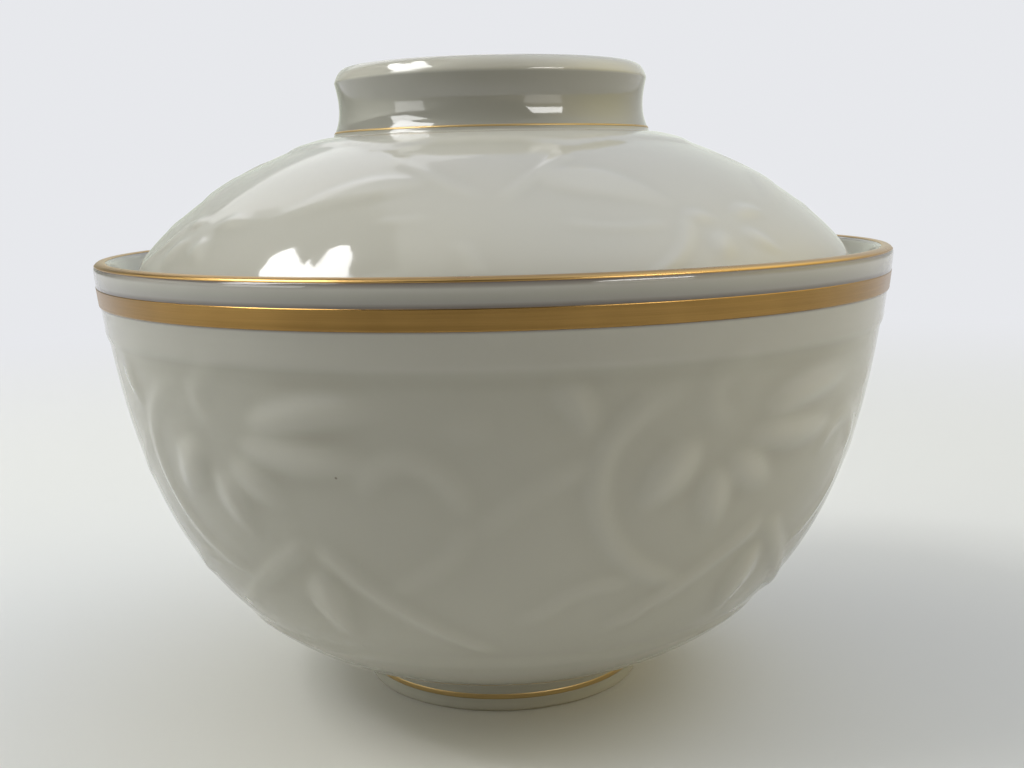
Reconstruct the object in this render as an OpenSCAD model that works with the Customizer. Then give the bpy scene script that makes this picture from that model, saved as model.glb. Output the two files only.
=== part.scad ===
// Lidded rice bowl of ivory glazed porcelain, with moulded flower relief and gilded lines.
// Lengths are in millimetres. The bowl stands on z = 0 and its axis is the z axis.

/* [Bowl] */
// Outer diameter of the lip
bowl_d = 118; // [108:1:130]
// Height from the standing edge to the top of the lip
bowl_h = 66.5; // [62:0.5:72]
// Thickness of the wall in the belly
wall_t = 3.8; // [3.4:0.1:4.2]
// Thickness of the rounded lip
lip_t = 2.2; // [1.8:0.1:2.6]
// Depth below the lip over which the wall thins to the lip
lip_taper_h = 12; // [8:0.5:13]
// Thickness of the floor above the foot ring
floor_t = 3.6; // [3:0.1:4.5]

/* [Foot ring] */
// Outer diameter of the foot ring at its standing edge
foot_d = 42.8; // [39:0.2:47]
// Height of the foot ring, from the table to the underside of the bowl
foot_h = 4.6; // [4.4:0.1:6]
// Width of the standing edge, rounding included
foot_edge_t = 2.6; // [2.2:0.1:3.2]
// Width of the foot ring where it joins the bowl
foot_root_t = 3.4; // [3:0.1:4.2]
// Rounding of the standing edge
foot_round = 0.6; // [0.4:0.1:0.8]

/* [Lid] */
// Depth of the lid's rim below the lip of the bowl
lid_seat_depth = 14.5; // [13.5:0.5:16]
// Gap between the lid's rim and the inside of the bowl
lid_gap = 0.35; // [0.3:0.05:0.6]
// Depth of the lid's shoulder, where the dome starts, below the lip of the bowl
lid_shoulder_depth = 2.8; // [2:0.1:4]
// Height of the dome, from its shoulder to the foot of the ring knob
lid_dome_h = 19.45; // [17:0.05:22]
// Thickness of the lid
lid_t = 3; // [2.6:0.1:3.4]
// Rise of the crown inside the ring knob
crown_rise = 1.2; // [0.8:0.1:1.6]

/* [Ring knob] */
// Outer diameter of the ring knob at its lip
knob_d = 46.8; // [43:0.2:50]
// Height of the ring knob
knob_h = 9.65; // [8:0.05:12]
// Width of the ring knob's wall
knob_t = 3.4; // [3:0.1:4]
// Rounding of the ring knob's lip on the outside
knob_round = 2; // [1.6:0.1:2.2]
// Rounding in the corner between the ring knob and the dome
knob_fillet = 0.6; // [0.4:0.1:0.9]

/* [Gilding] */
// Thickness of the fired gold, drawn far thicker than it is
gold_t = 0.12; // [0.08:0.01:0.2]
// Depth of the lip's gilding on the outside of the bowl
lip_gold_out = 1.2; // [1.15:0.05:1.6]
// Depth of the lip's gilding on the inside of the bowl
lip_gold_in = 1.9; // [1.5:0.1:2.5]
// Depth of the gilded band's upper edge below the lip
band_depth = 3.4; // [2.8:0.1:4]
// Width of the gilded band
band_w = 2.6; // [2:0.1:3.2]
// Height of the foot's gilded line above the table
foot_line_z = 2.4; // [2:0.1:2.8]
// Width of the foot's gilded line
foot_line_w = 1.2; // [0.8:0.1:1.6]
// Width of the gilded line at the foot of the ring knob
knob_line_w = 0.45; // [0.35:0.05:0.8]

/* [Relief] */
// Depth of the relief's ground below the smooth collar
ground_depth = 0.4; // [0.2:0.05:0.5]
// Distance from the lip down to the relief's ground
collar_depth = 10.5; // [9.5:0.5:12]
// Height of the relief's lower border above the table
hem_z = 16; // [14:0.5:18]
// Height over which the ground steps in and out
ground_step_h = 1.8; // [1.4:0.1:2.4]
// Height of a petal or leaf above the ground
petal_rise = 0.8; // [0.5:0.05:1]
// Height of a stem above the ground
stem_rise = 0.55; // [0.4:0.05:0.8]
// Width of a stem on the bowl
stem_w = 1.9; // [1.4:0.1:2.1]
// Width of a petal at its fullest
petal_w = 4.7; // [3.8:0.1:4.9]
// Width of a leaf at its fullest
leaf_w = 5.4; // [4.4:0.1:6]
// Height of the lid's relief above the dome
lid_relief_rise = 0.5; // [0.3:0.05:0.7]
// Width of a stem on the lid
lid_stem_w = 1.3; // [1:0.1:1.6]
// Width of a petal on the lid
lid_petal_w = 3; // [2.4:0.1:3.4]
// Width of a leaf on the lid
lid_leaf_w = 4.8; // [4:0.1:5.2]
// Width of the scalloped border round the ring knob
border_w = 3.9; // [3.2:0.1:4.6]
// Length of the points of the scalloped border
border_point = 2; // [1.4:0.1:2.4]

/* [Hidden] */

$fn = 96;

// Segments of the long curves, the short curves and the round edges
wall_n = 60;
short_n = 10;
round_n = 8;
// Segments along a petal or leaf, a stem of the bowl and a stem of the lid
blade_n = 5;
stem_n = 9;
lid_stem_n = 6;

ivory = [0.86, 0.85, 0.8];
ivory_raised = [0.9, 0.89, 0.84];
gold = [0.8, 0.6, 0.28];

// Curves

function bez(c, t) =
    pow(1 - t, 3) * c[0] + 3 * pow(1 - t, 2) * t * c[1] + 3 * (1 - t) * t * t * c[2] + pow(t, 3) * c[3];
function bez_slope(c, t) =
    3 * pow(1 - t, 2) * (c[1] - c[0]) + 6 * (1 - t) * t * (c[2] - c[1]) + 3 * t * t * (c[3] - c[2]);
function unit(v) = v / norm(v);
function ramp(x) = let (u = max(0, min(1, x))) u * u * (3 - 2 * u);
function bez_points(c, n) = [for (i = [0 : n]) bez(c, i / n)];
function arc_points(centre, r, from, to, n) =
    [for (i = [0 : n]) let (a = from + (to - from) * i / n) centre + r * [cos(a), sin(a)]];
function reversed(list) = [for (i = [len(list) - 1 : -1 : 0]) list[i]];

// The stretch of a rising outline between two heights, ends included
function radius_at(outline, z) = lookup(z, [for (p = outline) [p.y, p.x]]);
function between(outline, z0, z1) =
    concat([[radius_at(outline, z0), z0]], [for (p = outline) if (p.y > z0 && p.y < z1) p],
           [[radius_at(outline, z1), z1]]);

module revolve(outline) {
    rotate_extrude() polygon(outline);
}

// A skin of gold on the outside of an outline's stretch
module gold_skin(stretch) {
    color(gold) revolve(concat(stretch, reversed([for (p = stretch) p + [gold_t, 0]])));
}

// Outline of the bowl's wall, a curve from the foot to the lip

bowl_r = bowl_d / 2;
lip_r = lip_t / 2;
lip_lean = 5.3;
lip_centre = [bowl_r - lip_r, bowl_h - lip_r];
foot_r = foot_d / 2;
foot_flare_share = 0.15;
foot_root_r = foot_r + foot_flare_share * foot_root_t;
root_pitch = 19.2;
root_reach_share = 0.8;
root_rise_share = 0.26;
wall_root = [foot_root_r + root_reach_share * foot_root_t, foot_h + root_rise_share * foot_root_t];
wall_end = lip_centre + lip_r * [cos(lip_lean), -sin(lip_lean)];
wall_span = wall_end - wall_root;
root_handle_share = 0.713;
lip_handle_share = 0.535;
wall_curve = [wall_root,
              wall_root + root_handle_share * wall_span.x * [cos(root_pitch), sin(root_pitch)],
              wall_end - lip_handle_share * wall_span.y * [sin(lip_lean), cos(lip_lean)],
              wall_end];

function wall_out(t) = let (d = unit(bez_slope(wall_curve, t))) [d.y, -d.x];
band_top_z = bowl_h - band_depth;
band_low_z = band_top_z - band_w;
collar_z = bowl_h - collar_depth;
band_step_share = 0.4;
function ground(z) =
    ground_depth * (band_step_share * ramp((band_low_z - z) / gold_t)
        + (1 - band_step_share) * ramp((collar_z - z) / ground_step_h))
        * ramp((z - hem_z + ground_step_h) / ground_step_h);
function thickness(z) = wall_t - (wall_t - lip_t) * pow(max(0, (z - bowl_h + lip_taper_h) / lip_taper_h), 2);
function wall_skin(t, rise = 0) =
    let (p = bez(wall_curve, t)) p + (rise - ground(p.y)) * wall_out(t);

wall_outer = concat([for (i = [0 : wall_n - 1]) wall_skin(i / wall_n)], [wall_end]);
lip_outline = arc_points(lip_centre, lip_r, -lip_lean, 180 - lip_lean, round_n);
wall_inner = [for (i = [0 : wall_n - 1])
    let (t = i / wall_n, p = bez(wall_curve, t)) p - thickness(p.y) * wall_out(t)];
floor_z = foot_h + floor_t;
floor_start = wall_inner[0];
floor_handle_share = 0.15;
floor_curve = [floor_start, floor_start - floor_handle_share * floor_start.x * [cos(root_pitch), sin(root_pitch)],
               [floor_start.x / 2, floor_z], [0, floor_z]];

module bowl_wall() {
    root_bend = [foot_root_r + root_rise_share * foot_root_t / 2, foot_h + root_rise_share * foot_root_t / 2];
    root_fillet = bez_points([[foot_root_r, foot_h], root_bend, (root_bend + wall_root) / 2, wall_root], round_n);
    color(ivory) revolve(concat(
        [[0, foot_h]],
        [for (i = [0 : round_n - 1]) root_fillet[i]],
        wall_outer,
        [for (i = [1 : round_n]) lip_outline[i]],
        reversed(wall_inner),
        [for (i = [1 : short_n]) bez(floor_curve, i / short_n)]));
}

// Foot ring with a slight waist, where the gold line runs

foot_waist_share = 0.12;
foot_outer = bez_points([[foot_r, foot_round],
                         [foot_r - foot_waist_share * foot_edge_t, foot_h / 3],
                         [foot_r - foot_waist_share * foot_edge_t, 2 * foot_h / 3],
                         [foot_root_r, foot_h]], short_n);

module foot_ring() {
    edge_in = foot_r - foot_edge_t;
    color(ivory) revolve(concat(
        arc_points([edge_in + foot_round, foot_round], foot_round, 180, 270, round_n),
        arc_points([foot_r - foot_round, foot_round], foot_round, 270, 360, round_n),
        [for (i = [1 : short_n]) foot_outer[i]],
        [[foot_root_r - foot_root_t, foot_h]]));
}

// Gilding of the bowl

module lip_gilding() {
    low_out = bowl_h - lip_gold_out;
    low_in = bowl_h - lip_gold_in;
    inside = [for (p = wall_inner) if (p.y > low_in) p];
    inside_end = [radius_at(wall_inner, low_in), low_in];
    outside = [for (p = wall_outer) if (p.y > low_out && p.y < wall_end.y) p];
    outside_end = [radius_at(wall_outer, low_out), low_out];
    path = concat([outside_end], outside, lip_outline, reversed(inside), [inside_end]);
    color(gold) revolve(concat(path, reversed([for (p = path) p + gold_t * unit(p - lip_centre)])));
}

module band_gilding() {
    gold_skin(between(wall_outer, band_low_z, band_top_z));
}

module foot_gilding() {
    gold_skin(between(foot_outer, foot_line_z - foot_line_w / 2, foot_line_z + foot_line_w / 2));
}

// Outline of the lid: a rim that drops inside the bowl, a shoulder and a dome

rim_low_z = bowl_h - lid_seat_depth;
rim_round = lid_t / 2;
lid_r = radius_at(concat(wall_inner, [wall_end]), rim_low_z + rim_round) - lid_gap;
shoulder = [lid_r, bowl_h - lid_shoulder_depth];
knob_r = knob_d / 2;
knob_foot_share = 0.09;
knob_foot_r = knob_r + knob_foot_share * knob_t;
dome_end = [knob_foot_r + knob_fillet, shoulder.y + lid_dome_h];
dome_span = [shoulder.x - dome_end.x, dome_end.y - shoulder.y];
dome_pitch = 11.2;
shoulder_handle_share = 0.21;
dome_handle_share = 0.5;
dome_curve = [shoulder, shoulder + [0, shoulder_handle_share * dome_span.y],
              dome_end + dome_handle_share * dome_span.x * [cos(dome_pitch), -sin(dome_pitch)], dome_end];
function dome_out(t) = let (d = unit(bez_slope(dome_curve, t))) [d.y, -d.x];
function dome_skin(t, rise = 0) = bez(dome_curve, t) + rise * dome_out(t);
knob_seat_z = dome_end.y + knob_fillet;
crown_in_share = 0.35;

module lid_dome() {
    knob_in_r = knob_r - knob_t;
    crown_z = knob_seat_z + crown_rise;
    crown = bez_points([[knob_in_r, knob_seat_z], [2 * knob_in_r / 3, crown_z - crown_rise / 3],
                        [knob_in_r / 3, crown_z], [0, crown_z]], short_n);
    under_start = dome_skin(1, -lid_t);
    under = bez_points([[0, crown_z - lid_t], [under_start.x / 3, crown_z - lid_t],
                        under_start + crown_in_share * under_start.x * [-cos(dome_pitch), sin(dome_pitch)],
                        under_start], short_n);
    color(ivory) revolve(concat(
        arc_points([lid_r - rim_round, rim_low_z + rim_round], rim_round, 180, 360, 2 * round_n),
        [for (i = [0 : wall_n - 1]) dome_skin(i / wall_n)],
        arc_points(dome_end + [0, knob_fillet], knob_fillet, 270, 180, round_n),
        crown,
        under,
        [for (i = [wall_n - 1 : -1 : 0]) dome_skin(i / wall_n, -lid_t)]));
}

// Ring knob with a hollow flank and a rounded lip

knob_top_z = knob_seat_z + knob_h;
knob_lip_z = knob_top_z - knob_round;
knob_waist_share = 0.3;
knob_outer = bez_points([[knob_foot_r, knob_seat_z],
                         [knob_r - knob_waist_share * knob_t, knob_seat_z + knob_h / 4],
                         [knob_r - knob_waist_share * knob_t / 2, knob_lip_z - knob_h / 5],
                         [knob_r, knob_lip_z]], 2 * short_n);

module knob_ring() {
    in_round = knob_t - knob_round;
    crest_r = knob_r - knob_round;
    color(ivory) revolve(concat(
        [for (i = [0 : 2 * short_n - 1]) knob_outer[i]],
        arc_points([crest_r, knob_lip_z], knob_round, 0, 90, round_n),
        arc_points([crest_r, knob_top_z - in_round], in_round, 90, 180, round_n),
        [[knob_r - knob_t, knob_seat_z]]));
}

module knob_gilding() {
    gold_skin(between(knob_outer, knob_seat_z, knob_seat_z + knob_line_w));
}

// Relief. A place on a wall is [share of the motif's angle, share of the relief's height].
// Each form is a strip along a curve of four places, raised on the wall and closed underneath.

// Gap under a raised form, so that its flat facets clear the round wall
bed_gap = 0.06;
edge_share = 0.22;
stem_section_shares = [[-1, edge_share], [0, 1], [1, edge_share]];
blade_section_shares = [[-1, edge_share], [-0.5, 0.85], [0, 1], [0.5, 0.85], [1, edge_share]];
under_section_shares = [1, 0, -1];
stem_end_share = 0.12;
blade_full_share = 0.8;

function stem_form(s) = min(1, s / stem_end_share, (1 - s) / stem_end_share);
function blade_form(s) = sin(180 * pow(s, blade_full_share));

// Turns places into rings of points. The wall is given by its curve, ground and range of t.
function bowl_t(share) =
    lookup(hem_z + share * (collar_z - hem_z), [for (i = [0 : wall_n]) [bez(wall_curve, i / wall_n).y, i / wall_n]]);
function on_wall(dome, a, t, rise) =
    let (p = dome ? dome_skin(t, rise) : wall_skin(t, rise)) [p.x * sin(a), -p.x * cos(a), p.y];

// Share of the way in from the shoulder to the border, along the dome's curve
dome_end_share = 0.84;
function dome_t(share) = share * dome_end_share;

// A strip tapers to a point at each end
module strip(places, turn, span, w, rise, blade, n, dome) {
    curve = dome ? dome_curve : wall_curve;
    section = blade ? blade_section_shares : stem_section_shares;
    k = len(section) + len(under_section_shares);
    rings = [for (i = [0 : n])
        let (s = i / n,
             full = blade ? blade_form(s) : stem_form(s),
             place = bez(places, s),
             ahead = place + bez_slope(places, s) / (n * n),
             t = dome ? dome_t(place.y) : bowl_t(place.y),
             t_ahead = dome ? dome_t(ahead.y) : bowl_t(ahead.y),
             a = turn + span * place.x,
             reach = norm(bez_slope(curve, t)),
             arc = bez(curve, t).x * PI / 180,
             along = unit([(ahead.x - place.x) * span * arc, (t_ahead - t) * reach]))
        i % n == 0 ? [on_wall(dome, a, t, 2 * bed_gap)]
        : concat(
            [for (v = section) let (x = v[0] * full * w / 2)
                on_wall(dome, a - along.y * x / arc, t + along.x * x / reach, max(2 * bed_gap, rise * full * v[1]))],
            [for (v = under_section_shares) let (x = v * full * w / 2)
                on_wall(dome, a - along.y * x / arc, t + along.x * x / reach, bed_gap)])];
    last = (n - 1) * k + 1;
    polyhedron(
        points = [for (r = rings) each r],
        faces = concat(
            [for (j = [0 : k - 1]) [0, 1 + (j + 1) % k, 1 + j]],
            [for (j = [0 : k - 1]) [last, last - k + j, last - k + (j + 1) % k]],
            [for (i = [0 : n - 3], j = [0 : k - 1])
                let (p = 1 + i * k, q = (j + 1) % k)
                each [[p + j, p + q, p + k + q], [p + j, p + k + q, p + k + j]]]));
}

// Places of the flowers round the bowl, as shares of a turn from the front
flower_turn_shares = [-0.106, 0.079, 0.283, 0.487, 0.691];
bowl_span = 360 / len(flower_turn_shares);

// Curves of the bowl's motif, from each flower's heart. The first leaf is the large one.
small_leaf_share = 0.5;
petal_shares = [
    [[0.045, 0.825], [0.11, 0.855], [0.21, 0.88], [0.3, 0.893]],
    [[0.06, 0.732], [0.12, 0.72], [0.21, 0.71], [0.28, 0.702]],
    [[0.037, 0.672], [0.067, 0.64], [0.105, 0.6], [0.14, 0.56]],
    [[0, 0.64], [0, 0.57], [0.006, 0.5], [0.015, 0.43]],
    [[-0.05, 0.73], [-0.09, 0.68], [-0.12, 0.61], [-0.145, 0.53]]];
leaf_shares = [
    [[0.172, 0.32], [0.155, 0.24], [0.155, 0.16], [0.165, 0.07]],
    [[-0.315, 0.94], [-0.27, 0.93], [-0.25, 0.87], [-0.25, 0.79]],
    [[0.44, 0.82], [0.47, 0.835], [0.5, 0.835], [0.53, 0.82]]];
stem_shares = [
    [[-0.085, 0.91], [-0.32, 0.86], [-0.28, 0.3], [-0.06, 0.27]],
    [[0.08, 0.99], [-0.06, 0.96], [-0.06, 0.84], [-0.005, 0.82]],
    [[0.145, 0.43], [0.08, 0.35], [-0.06, 0.2], [-0.2, 0.08]],
    [[0.18, 0.43], [0.245, 0.32], [0.35, 0.14], [0.54, 0.01]],
    [[0.285, 0.6], [0.31, 0.78], [0.46, 0.78], [0.47, 0.53]],
    [[0.465, 0.47], [0.455, 0.4], [0.41, 0.35], [0.34, 0.3]],
    [[-0.38, 0.17], [-0.27, 0.17], [-0.33, 0.3], [-0.18, 0.29]],
    [[-0.265, 0.7], [-0.31, 0.66], [-0.37, 0.58], [-0.415, 0.5]]];

module round_bowl() {
    for (share = flower_turn_shares) {
        $turn = 360 * share;
        children();
    }
}

module bowl_flowers() {
    color(ivory_raised) round_bowl()
        for (c = petal_shares)
            strip(c, $turn, bowl_span, petal_w, petal_rise, true, blade_n, false);
}

module bowl_leaves() {
    color(ivory_raised) round_bowl()
        for (c = leaf_shares)
            strip(c, $turn, bowl_span, leaf_w * (c == leaf_shares[0] ? 1 : small_leaf_share), petal_rise,
                  true, blade_n, false);
}

module bowl_stems() {
    color(ivory_raised) round_bowl()
        for (c = stem_shares)
            strip(c, $turn, bowl_span, stem_w, stem_rise, false, stem_n, false);
}

// The lid's motif repeats every quarter turn, and its border has a point every eighth
lid_repeats = 4;
lid_span = 360 / lid_repeats;
lid_angle = -3.5;
border_points = 2 * lid_repeats;

lid_petal_shares = [
    [[0.475, 0.49], [0.465, 0.44], [0.45, 0.38], [0.43, 0.31]],
    [[0.51, 0.49], [0.525, 0.44], [0.545, 0.39], [0.565, 0.33]],
    [[0.47, 0.55], [0.44, 0.57], [0.41, 0.575], [0.38, 0.56]],
    [[0.515, 0.55], [0.545, 0.58], [0.58, 0.6], [0.61, 0.6]]];
lid_leaf_shares = [
    [[0.13, 0.72], [0.18, 0.73], [0.28, 0.68], [0.35, 0.56]],
    [[-0.11, 0.72], [-0.17, 0.72], [-0.27, 0.67], [-0.36, 0.51]]];
lid_stem_shares = [
    [[0.22, 0.92], [0.15, 0.84], [0.1, 0.76], [0.06, 0.64]],
    [[-0.2, 0.92], [-0.13, 0.84], [-0.07, 0.76], [0.02, 0.64]],
    [[0.37, 0.49], [0.36, 0.4], [0.32, 0.3], [0.27, 0.18]],
    [[-0.017, 0.43], [0, 0.36], [0.015, 0.28], [0.02, 0.2]]];

module round_lid() {
    for (i = [0 : lid_repeats - 1]) {
        $turn = lid_angle + i * lid_span;
        children();
    }
}

module lid_border() {
    in_r = dome_end.x + knob_fillet;
    lobe_angle = 360 / border_points;
    lobe_n = 8;
    count = border_points * lobe_n;
    row_shares = [0, 0.3, 0.6, 0.85, 1];
    row_rise_shares = [1, 1, 1, 0.8, edge_share];
    rows = len(row_shares);
    t_at = [for (i = [wall_n : -1 : 0]) [bez(dome_curve, i / wall_n).x, i / wall_n]];
    rings = [for (i = [0 : count - 1])
        let (a = lid_angle + lobe_angle * (1 / 2 + i / lobe_n),
             reach = border_w + border_point * pow(1 - 2 * (i % lobe_n) / lobe_n, 2),
             t = [for (share = row_shares) lookup(in_r + share * reach, t_at)])
        concat([for (j = [0 : rows - 1]) on_wall(true, a, t[j], lid_relief_rise * row_rise_shares[j])],
               [for (j = [rows - 1 : -1 : 0]) on_wall(true, a, t[j], bed_gap)])];
    k = 2 * rows;
    color(ivory_raised) polyhedron(
        points = [for (r = rings) each r],
        faces = [for (i = [0 : count - 1], j = [0 : k - 1])
            let (q = (j + 1) % k, m = (i + 1) % count)
            each [[i * k + j, m * k + q, i * k + q], [i * k + j, m * k + j, m * k + q]]]);
}

module lid_flowers() {
    color(ivory_raised) round_lid()
        for (c = lid_petal_shares)
            strip(c, $turn, lid_span, lid_petal_w, lid_relief_rise, true, blade_n, true);
}

module lid_leaves() {
    color(ivory_raised) round_lid()
        for (c = lid_leaf_shares)
            strip(c, $turn, lid_span, lid_leaf_w, lid_relief_rise, true, blade_n, true);
}

module lid_stems() {
    color(ivory_raised) round_lid()
        for (c = lid_stem_shares)
            strip(c, $turn, lid_span, lid_stem_w, lid_relief_rise, false, lid_stem_n, true);
}

bowl_wall();
foot_ring();
bowl_flowers();
bowl_leaves();
bowl_stems();
lip_gilding();
band_gilding();
foot_gilding();
lid_dome();
knob_ring();
lid_border();
lid_flowers();
lid_leaves();
lid_stems();
knob_gilding();
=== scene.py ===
# Lidded rice bowl of ivory glazed porcelain, with moulded flower relief and gilded lines.
# Lengths are in millimetres until a mesh is made from them. Angles round the axis start at the front.

import math

import bpy
from mathutils import Matrix, Vector


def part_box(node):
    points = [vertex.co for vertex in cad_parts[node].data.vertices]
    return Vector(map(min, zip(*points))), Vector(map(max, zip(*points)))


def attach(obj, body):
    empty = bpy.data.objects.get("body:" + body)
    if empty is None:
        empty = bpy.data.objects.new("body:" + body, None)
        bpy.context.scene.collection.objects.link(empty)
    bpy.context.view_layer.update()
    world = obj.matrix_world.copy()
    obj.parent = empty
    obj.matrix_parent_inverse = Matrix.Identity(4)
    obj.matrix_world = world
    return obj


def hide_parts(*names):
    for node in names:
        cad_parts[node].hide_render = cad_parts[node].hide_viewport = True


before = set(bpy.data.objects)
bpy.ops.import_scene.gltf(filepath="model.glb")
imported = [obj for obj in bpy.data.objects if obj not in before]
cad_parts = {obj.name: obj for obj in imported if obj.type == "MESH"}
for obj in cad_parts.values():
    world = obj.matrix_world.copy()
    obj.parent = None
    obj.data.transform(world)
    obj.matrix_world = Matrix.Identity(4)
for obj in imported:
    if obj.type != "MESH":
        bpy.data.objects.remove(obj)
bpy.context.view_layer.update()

MM = 0.001


# The camera stands in front of the bowl at the height of its lid. It looks a little down,
# and is held about a degree off level.

image_w_px = 1024
focal_px = 1262.7
sensor_w = 36
near_clip_m = 0.01
camera_place = Vector((0, -195.58, 77.17))
camera_pitch = math.radians(9.34)
camera_yaw = math.radians(0.66)
camera_roll = math.radians(-1.27)

ahead = Vector((math.sin(camera_yaw) * math.cos(camera_pitch),
                math.cos(camera_yaw) * math.cos(camera_pitch),
                -math.sin(camera_pitch)))
level = Vector((math.cos(camera_yaw), -math.sin(camera_yaw), 0))
above = level.cross(ahead)
right = math.cos(camera_roll) * level + math.sin(camera_roll) * above
up = math.cos(camera_roll) * above - math.sin(camera_roll) * level
camera_turn = Matrix((right, up, -ahead)).transposed().to_4x4()

camera = bpy.data.objects.new("camera", bpy.data.cameras.new("camera"))
camera.data.sensor_width = sensor_w
camera.data.lens = focal_px / image_w_px * sensor_w
camera.data.clip_start = near_clip_m
camera.matrix_world = Matrix.Translation(camera_place * MM) @ camera_turn
bpy.context.scene.collection.objects.link(camera)
bpy.context.scene.camera = camera


# Bowl: one thick, slip-cast porcelain body on a foot ring. A mould leaves the flowers, leaves and
# stems proud of a slightly sunk ground, and the clear glaze softens them. The inside is smooth.

bowl_low, bowl_high = (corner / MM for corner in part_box("bowl_wall"))
bowl_r = bowl_high.x
bowl_h = bowl_high.z
foot_h = bowl_low.z
wall_t = 3.8
lip_t = 2.2
lip_r = lip_t / 2
lip_lean = math.radians(5.3)
lip_taper_h = 12
floor_t = 3.6
foot_root_r = 21.91
foot_root_t = 3.4
foot_taper_share = 0.15
foot_r = foot_root_r - foot_taper_share * foot_root_t
foot_edge_t = 2.6
foot_in_r = foot_r - foot_edge_t
foot_waist_share = 0.12
foot_round = 0.6
root_reach_share = 0.8
root_rise_share = 0.26
root_corner_share = 0.13
root_pitch = math.radians(19.2)
root_handle_share = 0.713
lip_handle_share = 0.535
floor_handle_share = 0.15
band_depth = 3.4
band_w = 2.6
band_top_z = bowl_h - band_depth
band_low_z = band_top_z - band_w
collar_z = bowl_h - 10.5
hem_z = 16
ground_depth = 0.4
ground_step_h = 1.8
band_step_h = 0.12
band_step_share = 0.4
collar_step_h = 1.3
collar_bead = 0.45
collar_bead_w = 0.5
wall_rows = 120
lip_rows = 10
inner_rows = 24
floor_rows = 6
root_rows = 5
bowl_sectors = 520


def bezier(curve, t):
    """The point of a cubic curve at t."""
    a, b, c, d = curve
    return a * (1 - t) ** 3 + b * (3 * (1 - t) ** 2 * t) + c * (3 * (1 - t) * t * t) + d * t ** 3


def bezier_slope(curve, t):
    """The direction of a cubic curve at t, not of unit length."""
    a, b, c, d = curve
    return (b - a) * (3 * (1 - t) ** 2) + (c - b) * (6 * (1 - t) * t) + (d - c) * (3 * t * t)


def traced(curve, steps):
    """The points of a cubic curve, ends included."""
    return [bezier(curve, i / steps) for i in range(steps + 1)]


def outwards(curve, t):
    """The unit direction out of a rising outline at t."""
    along = bezier_slope(curve, t).normalized()
    return Vector((along.y, -along.x))


def polar(length, angle):
    """A step of a length at an angle above level."""
    return length * Vector((math.cos(angle), math.sin(angle)))


def arc(centre, radius, start, end, steps):
    """The points of an arc, ends included."""
    return [centre + polar(radius, start + (end - start) * i / steps) for i in range(steps + 1)]


def ramp(x):
    """A smooth step from 0 to 1."""
    u = max(0.0, min(1.0, x))
    return u * u * (3 - 2 * u)


def ground(z):
    """How far the relief's ground lies below the wall's curve. A soft bead ends the collar."""
    bead = collar_bead * math.exp(-((z - collar_z - collar_bead_w) / collar_bead_w) ** 2)
    collar_step = ramp((collar_z + collar_bead_w - z) / collar_step_h) - bead
    band_step = ramp((band_low_z - z) / band_step_h)
    hem_step = ramp((z - hem_z + ground_step_h) / ground_step_h)
    return ground_depth * (band_step_share * band_step + (1 - band_step_share) * collar_step) * hem_step


def thickness(z):
    """The wall's thickness, which falls towards the lip."""
    return wall_t - (wall_t - lip_t) * max(0.0, (z - bowl_h + lip_taper_h) / lip_taper_h) ** 2


lip_centre = Vector((bowl_r - lip_r, bowl_h - lip_r))
foot_root = Vector((foot_root_r, foot_h))
wall_root = foot_root + foot_root_t * Vector((root_reach_share, root_rise_share))
wall_end = lip_centre + polar(lip_r, -lip_lean)
wall_span = wall_end - wall_root
wall_curve = (wall_root,
              wall_root + polar(root_handle_share * wall_span.x, root_pitch),
              wall_end - polar(lip_handle_share * wall_span.y, math.pi / 2 - lip_lean),
              wall_end)


def wall_skin(t, rise=0.0):
    """A point of the bowl's outside, raised above the relief's ground."""
    point = bezier(wall_curve, t)
    return point + (rise - ground(point.y)) * outwards(wall_curve, t)


def wall_inside(t):
    """A point of the bowl's inside."""
    point = bezier(wall_curve, t)
    return point - thickness(point.y) * outwards(wall_curve, t)


inner_start = wall_inside(0)
floor_z = foot_h + floor_t
floor_curve = (inner_start,
               inner_start - polar(floor_handle_share * inner_start.x, root_pitch),
               Vector((inner_start.x / 2, floor_z)),
               Vector((0, floor_z)))
root_corner = foot_root + root_corner_share * foot_root_t * Vector((1, 1))
root_curve = (foot_root, root_corner, (root_corner + wall_root) / 2, wall_root)
foot_waist_r = foot_r - foot_waist_share * foot_edge_t
foot_curve = (Vector((foot_r, foot_round)),
              Vector((foot_waist_r, foot_h / 3)),
              Vector((foot_waist_r, 2 * foot_h / 3)),
              foot_root)
recess_corner = Vector((foot_root_r - foot_root_t - foot_round, foot_h - foot_round))
edge_in = Vector((foot_in_r + foot_round, foot_round))
edge_out = Vector((foot_r - foot_round, foot_round))
under_line = ([Vector((0, foot_h)), Vector((foot_in_r / 2, foot_h))]
              + arc(recess_corner, foot_round, math.pi / 2, 0, root_rows)
              + arc(edge_in, foot_round, math.pi, 1.5 * math.pi, root_rows)
              + arc(edge_out, foot_round, 1.5 * math.pi, math.tau, root_rows)
              + traced(foot_curve, floor_rows)[1:-1]
              + traced(root_curve, root_rows)[:-1])
outside_line = [wall_skin(i / wall_rows) for i in range(wall_rows)]
lip_line = arc(lip_centre, lip_r, -lip_lean, math.pi - lip_lean, lip_rows)
inside_line = ([wall_inside(1 - i / inner_rows) for i in range(1, inner_rows)]
               + traced(floor_curve, floor_rows))
bowl_outline = under_line + outside_line + lip_line + inside_line
bowl_moulded = [float(hem_z - ground_step_h < point.y < collar_z + ground_step_h
                      and len(under_line) <= i < len(under_line) + wall_rows)
                for i, point in enumerate(bowl_outline)]


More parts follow.
